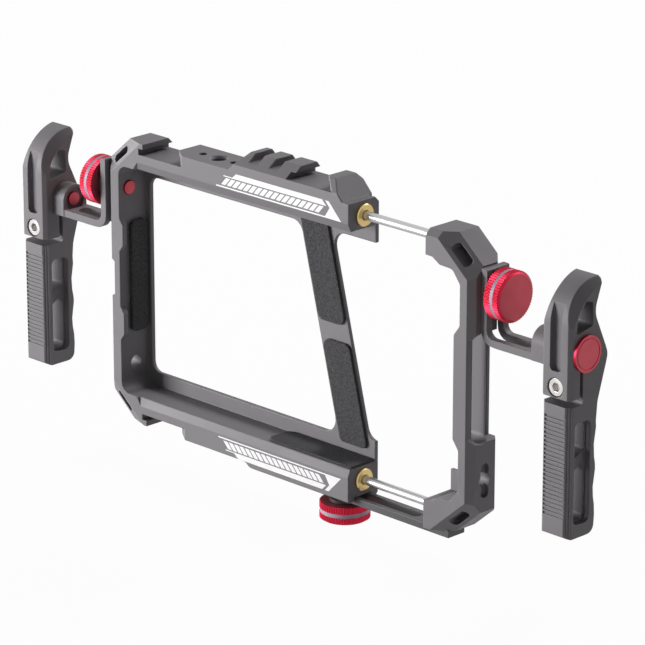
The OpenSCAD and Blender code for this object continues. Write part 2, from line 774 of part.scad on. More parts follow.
module lock_knob() color([0.7, 0.09, 0.16]) at_lock() knob(lock_stud_d);

module lock_knob_ring() color([0.8, 0.8, 0.82]) at_lock() knob_ring();

module lock_stud() color([0.7, 0.09, 0.16])
    at_lock() stud(2 - lock_z + washer_t + slide_clearance, lock_stud_d);

module lock_washer() color([0.1, 0.1, 0.1]) at_lock() washer(lock_stud_d);

// Places the parts of the right end from a side face at X = 0 and the bracket axis at Y = 0
module at_right() {
    translate([side_x + slide_clearance, bracket_y, 0]) children();
}

// Places the parts of the left end, turned half round from the right end
module at_left() {
    translate([left_x - slide_clearance, -bracket_y, 0]) rotate([0, 0, 180]) children();
}

// Angle bracket from the side face to the pivot boss and its hub
module bracket() {
    arm_z = pivot_z - boss_r;
    bend = 3;
    slot_top = stud_z + adjust_slot_rise - adjust_slot_w / 2;
    slot_end = bracket_reach - boss_t - 3 - adjust_slot_w / 2;
    difference() {
        union() {
            across(-bracket_w / 2, bracket_w / 2)
                polygon(rounded([[0, arm_z, bend + 2], [bracket_reach - boss_t + 1, arm_z, 0],
                    [bracket_reach - boss_t + 1, arm_z + bracket_t, 0], [bracket_t, arm_z + bracket_t, bend],
                    [bracket_t, bracket_top_z, 0.8], [0, bracket_top_z, 0]]));
            translate([0, 0, pivot_z]) {
                bar_x(bracket_reach - boss_t, bracket_reach, 2 * boss_r);
                bar_x(bracket_reach - 1, bracket_reach + grip_t - 1, hub_d);
            }
            translate([bracket_reach - boss_t, -boss_r, arm_z]) cube([boss_t, 2 * boss_r, boss_r]);
        }
        translate([-1, -adjust_slot_w / 2, arm_z - 1])
            cube([slot_end + 1, adjust_slot_w, slot_top - arm_z + 1]);
        translate([-1, 0, slot_top]) bar_x(0, bracket_t + 2, adjust_slot_w);
        translate([slot_end, 0, arm_z - 1]) cylinder(h = bracket_t + 2, d = adjust_slot_w);
        translate([bracket_reach - boss_t, 0, pivot_z]) {
            bar_x(-1, big, pivot_bolt_d + 2 * seat_gap);
            bar_x(-1, 1.2, hub_d - 0.6);
        }
    }
}

// Bolt through the hub that keeps the grip on the bracket
module pivot_bolt() {
    head_x = grip_x + grip_t + slide_clearance;
    translate([0, 0, pivot_z]) {
        difference() {
            union() {
                bar_x(head_x, head_x + pivot_head_t, pivot_head_d);
                bar_x(bracket_reach - boss_t + 0.4, head_x + 0.1, pivot_bolt_d);
            }
            translate([head_x + pivot_head_t - 0.25, 0, 0]) difference() {
                bar_x(0, 1, pivot_head_d - 1.6);
                bar_x(-1, 2, pivot_head_d - 2.4);
            }
        }
    }
}

// Side outline of a grip about its pivot axis, front to the left
function grip_outline() =
    let (
        proud = 0.6,
        tip_r = horn_r + proud,
        tip = [for (a = [180:-4:92]) [horn_y + tip_r * cos(a), horn_z + tip_r * sin(a), 0]],
        rear = [[7.6, horn_z + horn_r - 1, 0.4], [grip_rear - 1.6, horn_z + 3.6, 8],
            [grip_rear + 5.6, -2.4, 5], [grip_rear + 0.8, -18, 8]],
        wave = [for (z = [-24:-3:6 - grip_drop]) [grip_rear + wave_h * sin(360 * z / wave_l), z, 0]],
        foot = [[grip_rear, -grip_drop, 3], [-grip_front - proud, -grip_drop, 2.5 + proud]]
    )
    rounded(concat(tip, rear, wave, foot));

// Windows through the lower part of a grip and the horn
module grip_windows() {
    w = window_w / 2;
    wide = w + window_ledge;
    top = -24;
    low = 5 - grip_drop;
    upper = [[-w, top, 1.6], [w, top, 1.6], [w, -34.5, 1.2], [-w, -38.5, 1.2]];
    lower = [[-w, -42.5, 1.2], [w, -38.5, 1.2], [w, low, 2], [-w, low, 2]];
    recess = [[-wide, top + window_ledge, 2], [wide, top + window_ledge, 2],
        [wide, low - window_ledge, 2.5], [-wide, low - window_ledge, 2.5]];
    horn = [[2.6 - grip_front, 6.9, 1], [grip_rear - 2.2, 8.9, 1.2], [grip_rear - 2.4, horn_z + 7.2, 1.2],
        [-0.2, horn_z + 8, 1], [3.6 - grip_front, horn_z + 3.9, 4]];
    along(-1, grip_t + 1) {
        translate([window_y, 0]) polygon(rounded(upper));
        translate([window_y, 0]) polygon(rounded(lower));
        polygon(rounded(horn));
    }
    for (x = [-1, grip_t - window_recess]) {
        along(x, x + window_recess + 1) translate([window_y, 0]) polygon(rounded(recess));
    }
}

// Slit, gap and screw seat of the friction clamp under the pivot
module clamp_cuts(front) {
    translate([-1, slit_y - slit_w / 2, gap_z]) cube([grip_t + 2, slit_w, -gap_z]);
    along(-1, grip_t + 1) translate([0, gap_z])
        polygon(rounded([[-front - 1, -gap_h / 2, 0], [slit_y + slit_w / 2, -gap_h / 2, 1],
            [slit_y + slit_w / 2, gap_h / 2, 0.4], [-front - 1, gap_h / 2, 0]]));
    translate([grip_t / 2, 0, screw_z]) {
        bar_y(-front - 1, 3.4, screw_d + 2 * running_gap);
        bar_y(-front - 1, 3 - front, screw_head_d + 2 * free_gap);
    }
}

// Points from a to b with flutes cut to the left of the way
function fluted(a, b, flutes) =
    let (
        way = (b - a) / norm(b - a),
        inward = [-way.y, way.x]
    )
    [a, for (i = [1:1:flutes]) let (middle = a + (b - a) * i / (flutes + 1)) each [
        middle - way * flute_w / 2, middle + inward * flute_depth, middle + way * flute_w / 2], b];

// Bevelled bar that bounds a grip between two heights, with flutes along its bevels
module bevelled_bar(z0, z1, bevel, flutes) {
    translate([0, 0, z0]) linear_extrude(z1 - z0)
        polygon(concat(fluted([0, bevel - grip_front], [bevel, -grip_front], flutes),
            fluted([grip_t - bevel, -grip_front], [grip_t, bevel - grip_front], flutes),
            [[grip_t, 30], [0, 30]]));
}

// Cone-shaped crescents that thin the sides of the horn
module horn_crescents() {
    reach = 2.8;
    deep_r = crescent_r + reach * crescent_slope;
    intersection() {
        translate([-2, -30, crescent_z]) cube([grip_t + 4, 60, 40]);
        for (side = [0, 1]) translate([side * grip_t, crescent_y, crescent_z]) mirror([side, 0, 0])
            translate([-1, 0, 0]) rotate([0, 90, 0]) difference() {
                cylinder(h = reach + 1, r = deep_r + 10);
                cylinder(h = reach + 1, r1 = crescent_r - crescent_slope, r2 = deep_r, $fn = 96);
            }
    }
}

// Solid shape of a grip about its pivot axis
module grip_body() {
    difference() {
        intersection() {
            along(0, grip_t) polygon(grip_outline());
            union() {
                bevelled_bar(-grip_drop - 1, gap_z + 0.5, grip_bevel, flute_count);
                bevelled_bar(gap_z - 0.5, horn_z, horn_bevel, 0);
                translate([0, horn_y, horn_z]) rotate([0, 90, 0]) rotate_extrude($fn = 96)
                    polygon([[0, 0], [horn_r - horn_bevel, 0], [horn_r, horn_bevel],
                        [horn_r, grip_t - horn_bevel], [horn_r - horn_bevel, grip_t], [0, grip_t]]);
            }
        }
        horn_crescents();
    }
}

// Ribs on the front of the lower half and the pocket in the front of the upper half
module grip_grooves() {
    pocket_x = [(grip_t - pocket_w) / 2, (grip_t + pocket_w) / 2];
    for (i = [0:rib_count - 1]) {
        translate([grip_bevel, -grip_front - 1, -22.4 - i * rib_pitch])
            cube([grip_t - 2 * grip_bevel, 1 + rib_depth, rib_pitch / 2]);
    }
    across(-grip_front - 1, pocket_depth - grip_front)
        polygon(rounded([[pocket_x[0], -6, 1.5], [pocket_x[1], -6, 1.5],
            [pocket_x[1], horn_z + horn_r, 0], [pocket_x[0], horn_z + horn_r, 0]]));
}

// Grip along +X from its inner face at X = 0, pivot axis at the origin, set forward on the pivot
module grip(set) {
    difference() {
        translate([0, -set, 0]) difference() {
            grip_body();
            grip_windows();
            grip_grooves();
        }
        bar_x(-1, grip_t + 1, hub_d + 2 * running_gap);
        clamp_cuts(grip_front + set);
    }
}

// Clamp screw along Y about the pivot axis
module clamp_screw(front) {
    translate([grip_t / 2, 0, screw_z]) difference() {
        union() {
            bar_y(0.4 - front, 3 - front, screw_head_d);
            bar_y(2 - front, 3, screw_d);
        }
        translate([0, 1.9 - front, 0]) rotate([90, 0, 0])
            cylinder(h = 4, d = screw_head_d / 2 + 0.4, $fn = 6);
    }
}

// Places the right grip parts
module at_right_grip() {
    translate([side_x + slide_clearance + grip_x, bracket_y, pivot_z]) children();
}

// Places the left grip parts, mirrored so that both grips face the front
module at_left_grip() {
    translate([left_x - slide_clearance - grip_x, -bracket_y, pivot_z + left_lift]) mirror([1, 0, 0])
        children();
}

module left_bracket() color([0.42, 0.41, 0.43]) at_left() translate([0, 0, left_lift]) bracket();

module left_pivot_bolt() color([0.7, 0.09, 0.16]) at_left() translate([0, 0, left_lift]) pivot_bolt();

module left_knob() color([0.7, 0.09, 0.16]) at_left() translate([knob_x, 0, stud_z]) knob(stud_d);

module left_knob_ring() color([0.8, 0.8, 0.82]) at_left() translate([knob_x, 0, stud_z]) knob_ring();

module left_stud() color([0.7, 0.09, 0.16]) at_left() translate([knob_x, 0, stud_z])
    stud(knob_x + slide_clearance + wall_t + 0.6, stud_d);

module left_washer() color([0.1, 0.1, 0.1]) at_left() translate([knob_x, 0, stud_z]) washer(stud_d);

module left_grip() color([0.42, 0.41, 0.43]) at_left_grip() grip(left_grip_set);

module left_clamp_screw() color([0.8, 0.8, 0.82]) at_left_grip() clamp_screw(grip_front + left_grip_set);

module right_bracket() color([0.42, 0.41, 0.43]) at_right() bracket();

module right_pivot_bolt() color([0.7, 0.09, 0.16]) at_right() pivot_bolt();

module right_knob() color([0.7, 0.09, 0.16]) at_right() translate([knob_x, 0, stud_z]) knob(stud_d);

module right_knob_ring() color([0.8, 0.8, 0.82]) at_right() translate([knob_x, 0, stud_z]) knob_ring();

module right_stud() color([0.7, 0.09, 0.16]) at_right() translate([knob_x, 0, stud_z])
    stud(knob_x + slide_clearance + post_t + 0.6, stud_d);

module right_washer() color([0.1, 0.1, 0.1]) at_right() translate([knob_x, 0, stud_z]) washer(stud_d);

module right_grip() color([0.42, 0.41, 0.43]) at_right_grip() grip(0);

module right_clamp_screw() color([0.8, 0.8, 0.82]) at_right_grip() clamp_screw(grip_front);

main_frame();
brace_pad_upper();
brace_pad_lower();
left_wall_pad();
bottom_pad();
top_bush();
bottom_bush();
slide_frame();
top_rod();
bottom_rod();
slide_rail();
rail_screws();
rod_set_screws();
lock_knob();
lock_knob_ring();
lock_stud();
lock_washer();
left_bracket();
left_pivot_bolt();
left_knob();
left_knob_ring();
left_stud();
left_washer();
left_grip();
left_clamp_screw();
right_bracket();
right_pivot_bolt();
right_knob();
right_knob_ring();
right_stud();
right_washer();
right_grip();
right_clamp_screw();
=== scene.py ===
"""Finishes, foam pads, printed arrows and studio of a telescopic phone cage.

The pieces are set around the cage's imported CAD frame.
"""

import json
import math

import bmesh
import bpy
from bpy.props import FloatProperty, FloatVectorProperty, IntProperty, PointerProperty
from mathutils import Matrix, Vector
from mathutils.bvhtree import BVHTree
from mathutils.kdtree import KDTree

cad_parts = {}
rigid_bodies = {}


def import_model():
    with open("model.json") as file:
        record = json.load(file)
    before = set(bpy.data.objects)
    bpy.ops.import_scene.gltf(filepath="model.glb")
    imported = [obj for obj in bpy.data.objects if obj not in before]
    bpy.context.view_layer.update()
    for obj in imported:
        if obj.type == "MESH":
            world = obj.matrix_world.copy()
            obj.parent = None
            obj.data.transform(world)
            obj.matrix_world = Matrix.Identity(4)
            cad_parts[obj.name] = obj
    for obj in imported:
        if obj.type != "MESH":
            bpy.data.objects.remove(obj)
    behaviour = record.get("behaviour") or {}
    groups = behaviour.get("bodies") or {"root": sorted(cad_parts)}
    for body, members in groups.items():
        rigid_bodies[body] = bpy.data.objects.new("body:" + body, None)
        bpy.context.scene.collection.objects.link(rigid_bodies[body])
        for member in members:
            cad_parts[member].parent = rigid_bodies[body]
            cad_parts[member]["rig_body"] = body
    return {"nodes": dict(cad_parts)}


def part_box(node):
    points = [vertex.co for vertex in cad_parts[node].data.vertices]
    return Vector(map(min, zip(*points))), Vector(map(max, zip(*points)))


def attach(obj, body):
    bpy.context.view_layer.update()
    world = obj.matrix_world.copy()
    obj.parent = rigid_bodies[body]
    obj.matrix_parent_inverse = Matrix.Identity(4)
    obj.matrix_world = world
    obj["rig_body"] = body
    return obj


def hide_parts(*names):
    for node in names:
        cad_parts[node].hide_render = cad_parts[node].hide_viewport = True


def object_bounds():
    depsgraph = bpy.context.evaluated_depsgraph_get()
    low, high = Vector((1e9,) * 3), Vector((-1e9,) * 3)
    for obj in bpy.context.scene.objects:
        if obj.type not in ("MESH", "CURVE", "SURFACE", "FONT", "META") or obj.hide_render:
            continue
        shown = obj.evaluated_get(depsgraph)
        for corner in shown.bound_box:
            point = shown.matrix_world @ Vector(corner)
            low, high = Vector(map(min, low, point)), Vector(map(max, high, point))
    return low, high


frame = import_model()
CAD_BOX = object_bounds()

bl_info = {
    "name": "Phone Cage",
    "version": (1, 0, 0),
    "blender": (4, 5, 0),
    "location": "View3D > Sidebar > Phone Cage",
    "description": "Finishes, foam pads and printed arrows of a telescopic phone cage",
    "category": "Object",
}

SIDES = ("left", "right")
MM = 0.001


# Settings


def colour(name, description, value):
    """A colour property in linear RGB."""
    return FloatVectorProperty(
        name=name, description=description, subtype="COLOR", size=3, min=0, max=1, default=value
    )


def length(name, description, value):
    """A length property in metres."""
    return FloatProperty(
        name=name, description=description, unit="LENGTH", min=0, precision=5, default=value
    )


def angle(name, description, degrees):
    """An angle property, set here in degrees."""
    return FloatProperty(
        name=name, description=description, subtype="ANGLE", default=math.radians(degrees)
    )


def power(name, description, value):
    """A lamp's power property in watts."""
    return FloatProperty(name=name, description=description, unit="POWER", min=0, default=value)


class CageFinish(bpy.types.PropertyGroup):
    """Colours of the cage's finishes."""

    grey: colour("Grey", "Anodised grey of the frames, brackets and grips", (0.2, 0.19, 0.2))
    worn_grey: colour("Worn grey", "Rubbed edges of the grey parts", (0.34, 0.33, 0.34))
    # The end faces of the knobs and pivot bolts get this paler red as a painted sheen
    painted_sheen_red: colour("Face red", "Paler faces of the knobs and pivot bolts", (0.46, 0.068, 0.09))
    red: colour("Red", "Anodised red of the knobs and pivot bolts", (0.52, 0.013, 0.044))
    worn_red: colour("Worn red", "Rubbed edges of the red parts", (0.54, 0.03, 0.065))
    ring: colour("Ring", "Plain rings of the knobs", (0.4, 0.32, 0.39))
    bright: colour("Bright", "Screws", (0.58, 0.56, 0.55))
    brass: colour("Brass", "Guide bushes", (0.62, 0.46, 0.2))
    steel: colour("Steel", "Ground guide rods", (0.5, 0.5, 0.51))
    rail: colour("Rail", "Dark anodised slide rail", (0.1, 0.097, 0.1))
    foam: colour("Foam", "Foam pads", (0.052, 0.05, 0.053))
    black: colour("Black", "Washers and set screws", (0.011, 0.011, 0.012))
    print_white: colour("Print white", "Printed arrows", (0.9, 0.89, 0.9))


class CageSizes(bpy.types.PropertyGroup):
    """Sizes of the modelled details."""

    edge_round: length("Edge rounding", "Width of the broken edges of the milled parts", 0.35 * MM)
    pad_cell: length("Foam cell", "Size of the cells on the foam pads", 0.55 * MM)
    pad_relief: length("Foam relief", "Height of the cells on the foam pads", 0.12 * MM)
    ink: length("Ink", "Thickness of the printed arrows", 0.03 * MM)
    cell_pitch: length("Cell pitch", "Spacing of the slanted cells of the arrows", 2.71 * MM)
    cell_width: length("Cell width", "Width of a slanted cell of the arrows", 2.1 * MM)
    cell_count: IntProperty(
        name="Cells", description="Number of slanted cells of an arrow", min=1, default=18
    )


class CageStudio(bpy.types.PropertyGroup):
    """Camera and lights of the studio."""

    target: FloatVectorProperty(
        name="Target",
        description="Point in the middle of the picture",
        unit="LENGTH",
        default=(0.059, -0.0074, 0.0614),
    )
    azimuth: angle("Azimuth", "Turn of the camera to the right of the front", 45)
    elevation: angle("Elevation", "Height of the camera over the horizon", 18.6)
    distance: length("Distance", "Distance of the camera from the target", 1.4)
    lens: FloatProperty(
        name="Lens", description="Focal length of the camera", unit="CAMERA", default=227.2
    )
    key: power("Key light", "Power of the lamp at the front left", 36)
    side: power("Side light", "Power of the lamp on the left", 12)
    back: power("Back light", "Power of the high lamp behind", 19)
    fill: power("Fill light", "Power of the lamp on the right", 0.6)
    ambient: FloatProperty(
        name="Ambient", description="Strength of the even light from all sides", min=0, default=0.03
    )


def finish():
    """The colours as set in the scene."""
    return bpy.context.scene.cage_finish


def sizes():
    """The sizes of details as set in the scene."""
    return bpy.context.scene.cage_sizes


# Node helpers

# Most values of a noise texture lie in this span
NOISE_SPAN = (0.3, 0.7)
# Agreement of the rounded and the flat normal, from a rubbed edge to a plain face
EDGE_SPAN = (0.8, 0.985)
# Part of a normal along an axis, from a slope to a face square to that axis
SQUARE_SPAN = (0.9, 0.97)


def add_node(material, kind, **settings):
    """A new shader node with attributes set by name."""
    node = material.node_tree.nodes.new("ShaderNode" + kind)
    for key, value in settings.items():
        setattr(node, key, value)
    return node


def join(material, output, target):
    """Links an output socket to an input socket."""
    material.node_tree.links.new(output, target)


def start_material(name, base, metallic, roughness):
    """A Principled material, and its shader node."""
    material = bpy.data.materials.new(name)
    material.use_nodes = True
    shader = material.node_tree.nodes["Principled BSDF"]
    shader.inputs["Base Color"].default_value = (*base, 1)
    shader.inputs["Metallic"].default_value = metallic
    shader.inputs["Roughness"].default_value = roughness
    return material, shader


def placed_coordinates(material, centre=(0, 0, 0)):
    """Object coordinates measured from a centre."""
    place = add_node(material, "TexCoord")
    shift = add_node(material, "Mapping")
    shift.inputs["Location"].default_value = [-c for c in centre]
    join(material, place.outputs["Object"], shift.inputs["Vector"])
    return shift.outputs["Vector"]


def noise(material, vector, scale, detail):
    """The values of a noise texture."""
    texture = add_node(material, "TexNoise")
    texture.inputs["Scale"].default_value = scale
    texture.inputs["Detail"].default_value = detail
    join(material, vector, texture.inputs["Vector"])
    return texture.outputs["Fac"]


def remap(material, value, span, onto):
    """A value from one span, spread over another."""
    spread = add_node(material, "MapRange")
    for name, number in zip(("From Min", "From Max", "To Min", "To Max"), (*span, *onto)):
        spread.inputs[name].default_value = number
    join(material, value, spread.inputs["Value"])
    return spread.outputs["Result"]


def toned(base, share):
    """A colour made darker or paler by a share."""
    return [share * c for c in base]


def mix_colours(material, factor, first, second):
    """A colour between two, each a colour or a socket."""
    mix = add_node(material, "Mix", data_type="RGBA")
    join(material, factor, mix.inputs["Factor"])
    for name, value in (("A", first), ("B", second)):
        socket = [s for s in mix.inputs if s.name == name and s.type == "RGBA"][0]
        if isinstance(value, bpy.types.NodeSocket):
            join(material, value, socket)
        else:
            socket.default_value = (*value, 1)
    return [s for s in mix.outputs if s.type == "RGBA"][0]


def edge_share(material, radius):
    """1 on sharp edges and 0 on faces, with the rounded normal that it comes from."""
    rounded = add_node(material, "Bevel", samples=6)
    rounded.inputs["Radius"].default_value = radius
    flat = add_node(material, "NewGeometry")
    agree = add_node(material, "VectorMath", operation="DOT_PRODUCT")
    join(material, rounded.outputs["Normal"], agree.inputs[0])
    join(material, flat.outputs["Normal"], agree.inputs[1])
    return remap(material, agree.outputs["Value"], EDGE_SPAN, (1, 0)), rounded.outputs["Normal"]


def end_face_share(material, axis):
    """1 on faces square to an axis and 0 on the others."""
    place = add_node(material, "TexCoord")
    parts = add_node(material, "SeparateXYZ")
    join(material, place.outputs["Normal"], parts.inputs["Vector"])
    size = add_node(material, "Math", operation="ABSOLUTE")
    join(material, parts.outputs[axis], size.inputs[0])
    return remap(material, size.outputs["Value"], SQUARE_SPAN, (0, 1))


def set_roughness(material, shader, cloud, low, high):
    """Roughness that follows a noise from low to high."""
    join(material, remap(material, cloud, NOISE_SPAN, (low, high)), shader.inputs["Roughness"])


def set_colour(material, shader, factor, first, second):
    """Base colour between two, each a colour or a socket."""
    mixed = mix_colours(material, factor, first, second)
    join(material, mixed, shader.inputs["Base Color"])


def set_bump(material, shader, height, strength, distance, normal=None):
    """Bump from a height, on top of a normal where one is given."""
    bump = add_node(material, "Bump")
    bump.inputs["Strength"].default_value = strength
    bump.inputs["Distance"].default_value = distance
    join(material, height, bump.inputs["Height"])
    if normal is not None:
        join(material, normal, bump.inputs["Normal"])
    join(material, bump.outputs["Normal"], shader.inputs["Normal"])


# Finishes


def blasted_anodised(name, base, worn, metallic, rough_low, rough_high):
    """Bead-blasted and anodised metal: fine grain, uneven sheen and lightly rubbed edges."""
    material, shader = start_material(name, base, metallic, rough_low)
    shader.inputs["Specular IOR Level"].default_value = 0.2
    vector = placed_coordinates(material)
    cloud = noise(material, vector, scale=45, detail=4)
    set_roughness(material, shader, cloud, rough_low, rough_high)
    uneven = remap(material, cloud, NOISE_SPAN, (0, 1))
    body = mix_colours(material, uneven, toned(base, 0.9), base)
    edges, normal = edge_share(material, 0.32 * MM)
    patches = noise(material, vector, scale=160, detail=3)
    rubbed = add_node(material, "Math", operation="MULTIPLY")
    join(material, edges, rubbed.inputs[0])
    join(material, remap(material, patches, (0.42, 0.62), (0.15, 0.8)), rubbed.inputs[1])
    set_colour(material, shader, rubbed.outputs["Value"], body, worn)
    grain = noise(material, vector, scale=4200, detail=2)
    set_bump(material, shader, grain, strength=0.12, distance=0.06 * MM, normal=normal)
    return material


# Spacing of the turning rings, and the painted shade that darkens their hollows
RING_PITCH = 0.22 * MM
RING_HOLLOW_SHADE = 0.86


def turned_metal(name, base, worn, axis, centre, roughness, metallic=1.0, face=None):
    """Turned metal with fine rings about an axis, their hollows darkened with painted shade, and
    another colour on its end faces if given, used as a painted sheen.
    """
    material, shader = start_material(name, base, metallic, roughness)
    vector = placed_coordinates(material, centre)
    rings = add_node(material, "TexWave", wave_type="RINGS", rings_direction=axis)
    rings.inputs["Scale"].default_value = 2 * math.pi / (20 * RING_PITCH)
    rings.inputs["Distortion"].default_value = 0.4
    join(material, vector, rings.inputs["Vector"])
    turning = rings.outputs["Fac"]
    cloud = noise(material, vector, scale=220, detail=3)
    set_roughness(material, shader, cloud, roughness, roughness + 0.14)
    edges, normal = edge_share(material, 0.18 * MM)
    # The rings' hollows are darker: painted shade
    body = mix_colours(material, turning, toned(base, RING_HOLLOW_SHADE), base)
    # End faces get the given face colour mixed in: a painted sheen
    if face is not None:
        sheen_ends = mix_colours(material, turning, toned(face, RING_HOLLOW_SHADE), face)
        body = mix_colours(material, end_face_share(material, axis), body, sheen_ends)
    set_colour(material, shader, edges, body, worn)
    set_bump(material, shader, turning, strength=0.1, distance=0.03 * MM, normal=normal)
    return material


def ground_steel(name, base):
    """Ground and polished rod with faint lines along its length."""
    material, shader = start_material(name, base, 1.0, 0.3)
    place = add_node(material, "TexCoord")
    stretch = add_node(material, "Mapping")
    stretch.inputs["Scale"].default_value = (12, 500, 500)
    join(material, place.outputs["Object"], stretch.inputs["Vector"])
    lines = noise(material, stretch.outputs["Vector"], scale=1, detail=3)
    set_roughness(material, shader, lines, 0.3, 0.36)
    set_bump(material, shader, lines, strength=0.005, distance=0.01 * MM)
    return material


def foam_rubber(name, base):
    """Matt foam rubber with pale and dark cells."""
    material, shader = start_material(name, base, 0, 0.93)
    shader.inputs["Specular IOR Level"].default_value = 0.25
    vector = placed_coordinates(material)
    cells = noise(material, vector, scale=2300, detail=4)
    pale_share = remap(material, cells, (0.36, 0.66), (0, 1))
    set_colour(material, shader, pale_share, toned(base, 0.7), toned(base, 1.6))
    set_roughness(material, shader, cells, 0.98, 0.85)
    set_bump(material, shader, cells, strength=0.5, distance=0.2 * MM)
    return material


def screen_ink(name, base):
    """Screen-printed ink with a slight unevenness."""
    material, shader = start_material(name, base, 0, 0.5)
    vector = placed_coordinates(material)
    cloud = noise(material, vector, scale=900, detail=3)
    full_share = remap(material, cloud, (0.35, 0.65), (0, 1))
    set_colour(material, shader, full_share, toned(base, 0.94), base)
    set_roughness(material, shader, cloud, 0.45, 0.6)
    set_bump(material, shader, cloud, strength=0.06, distance=0.03 * MM)
    return material


def moulded_black(name, base, metallic=0.0):
    """Black plastic or blackened steel with a fine grain."""
    material, shader = start_material(name, base, metallic, 0.5)
    vector = placed_coordinates(material)
    grain = noise(material, vector, scale=2600, detail=3)
    set_roughness(material, shader, grain, 0.42, 0.6)
    edges, normal = edge_share(material, 0.2 * MM)
    set_colour(material, shader, edges, base, toned(base, 2.2))
    set_bump(material, shader, grain, strength=0.1, distance=0.04 * MM, normal=normal)
    return material


# Modelling helpers

# Corners closer than this are one
MERGE_GAP = 0.001 * MM
# Triangles that meet at less than this angle lie in one flat face
FLAT_ANGLE = math.radians(0.4)


def select_only(piece):
    """piece alone selected and active, in object mode."""
    if bpy.context.mode != "OBJECT":
        bpy.ops.object.mode_set(mode="OBJECT")
    bpy.ops.object.select_all(action="DESELECT")
    piece.select_set(True)
    bpy.context.view_layer.objects.active = piece


def apply_modifiers(piece):
    """Applies a piece's modifiers in order, and leaves it selected."""
    select_only(piece)
    for modifier in list(piece.modifiers):
        bpy.ops.object.modifier_apply(modifier=modifier.name)


def middle(node):
    """The middle of a CAD node's box."""
    low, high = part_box(node)
    return (low + high) / 2


def coat(piece, material):
    """Gives a piece or a CAD node's object its material."""
    piece.data.materials.clear()
    piece.data.materials.append(material)


def dress(node, material):
    """Gives a CAD node its material."""
    coat(frame["nodes"][node], material)


def merged_copy(node, name):
    """A new object with a CAD node's mesh, its triangles merged and evened out."""
    piece = bpy.data.objects.new(name, frame["nodes"][node].data.copy())
    bpy.context.scene.collection.objects.link(piece)
    select_only(piece)
    bpy.ops.mesh.customdata_custom_splitnormals_clear()
    bpy.ops.object.mode_set(mode="EDIT")
    bpy.ops.mesh.select_all(action="SELECT")
    bpy.ops.mesh.remove_doubles(threshold=MERGE_GAP)
    bpy.ops.mesh.beautify_fill(angle_limit=FLAT_ANGLE)
    bpy.ops.object.mode_set(mode="OBJECT")
    return piece


def stand_for(piece, node, material):
    """piece replaces a CAD node, which it hides, and rides on its body."""
    coat(piece, material)
    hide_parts(node)
    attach(piece, frame["nodes"][node]["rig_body"])


# Broken edges

# Edges that turn more than this are sharp and get rounded
SHARP_ANGLE = math.radians(32)
# Sharp edges that leave a corner at more than this angle limit its rounding
TURN_ANGLE = math.radians(35)
# Rounding as a share of the room beside an edge, and of that in a hollow corner
ROOM_SHARE = 0.28
HOLLOW_SHARE = 0.2
# Places along an edge where its room is measured
ROOM_STEPS = 4
# A point this close to an edge lies on it
TOUCH = 1e-7
# A point lies beside a place if it is no further along the edge than this share of its distance
BESIDE_SHARE = 0.5


def point_tree(points):
    """A search tree of points."""
    tree = KDTree(len(points))
    for index, point in enumerate(points):
        tree.insert(point, index)
    tree.balance()
    return tree


def face_tree(mesh):
    """A search tree of a mesh's faces."""
    shape = bmesh.new()
    shape.from_mesh(mesh)
    tree = BVHTree.FromBMesh(shape)
    shape.free()
    return tree


def edge_room(edge, tree, owners, reach):
    """The distance from a sharp edge to the next sharp edge beside it, up to reach."""
    a, b = edge.verts[0].co, edge.verts[1].co
    way = (b - a).normalized()
    room = reach
    for i in range(ROOM_STEPS + 1):
        place = a.lerp(b, i / ROOM_STEPS)
        for other, index, distance in tree.find_range(place, reach):
            near = owners[index]
            if near is edge or distance < TOUCH or set(near.verts) & set(edge.verts):
                continue
            if abs((other - place).dot(way)) < BESIDE_SHARE * distance:
                room = min(room, distance)
    for vert in edge.verts:
        for near in vert.link_edges:
            if near is edge or near.calc_face_angle(0) < SHARP_ANGLE:
                continue
            turn = way.angle((near.other_vert(vert).co - vert.co).normalized())
            if TURN_ANGLE < turn < math.pi - TURN_ANGLE:
                room = min(room, near.calc_length())
    return room


def weigh_edges(piece, width):
    """Marks the sharp edges for rounding, less in hollow corners and close to other sharp edges."""
    shape = bmesh.new()
    shape.from_mesh(piece.data)
    layer = shape.edges.layers.float.new("bevel_weight_edge")
    sharp = [edge for edge in shape.edges if edge.calc_face_angle(0) > SHARP_ANGLE]
    points, owners = [], []
    for edge in sharp:
        count = max(2, math.ceil(edge.calc_length() / width))
        for i in range(count + 1):
            points.append(edge.verts[0].co.lerp(edge.verts[1].co, i / count))
            owners.append(edge)
    tree = point_tree(points)
    for edge in sharp:
        room = edge_room(edge, tree, owners, width / ROOM_SHARE)
        edge[layer] = ROOM_SHARE * room / width * (1 if edge.is_convex else HOLLOW_SHARE)
    shape.to_mesh(piece.data)
    shape.free()


# Faces smaller than this are too small to be seen folded
SLIVER_AREA = 1e-9
# A face whose normal agrees less than this with the plain shape's is folded over
FOLD_LIMIT = -0.1
# Shares of the rounding: how far a face may stray, and how far from there edges are calmed
STRAY_SHARE = 0.45
CALM_REACH = 3
# What calming leaves of an edge's rounding, and how often it is repeated
CALM_SHARE = 0.4
CALM_ROUNDS = 8


def faulty_places(piece, limit):
    """Corners of the rounded piece's faces that are folded or stray from its plain shape."""
    plain = face_tree(piece.data)
    rounded = piece.evaluated_get(bpy.context.evaluated_depsgraph_get())
    mesh = rounded.to_mesh()
    far = {vert.index for vert in mesh.vertices if plain.find_nearest(vert.co)[3] > limit}
    places = []
    for face in mesh.polygons:
        normal, distance = plain.find_nearest(face.center)[1::2]
        folded = face.normal.dot(normal) < FOLD_LIMIT
        stray = face.area > SLIVER_AREA and (distance > limit or folded)
        if stray or far.intersection(face.vertices):
            places += [mesh.vertices[index].co.copy() for index in face.vertices]
    rounded.to_mesh_clear()
    return places


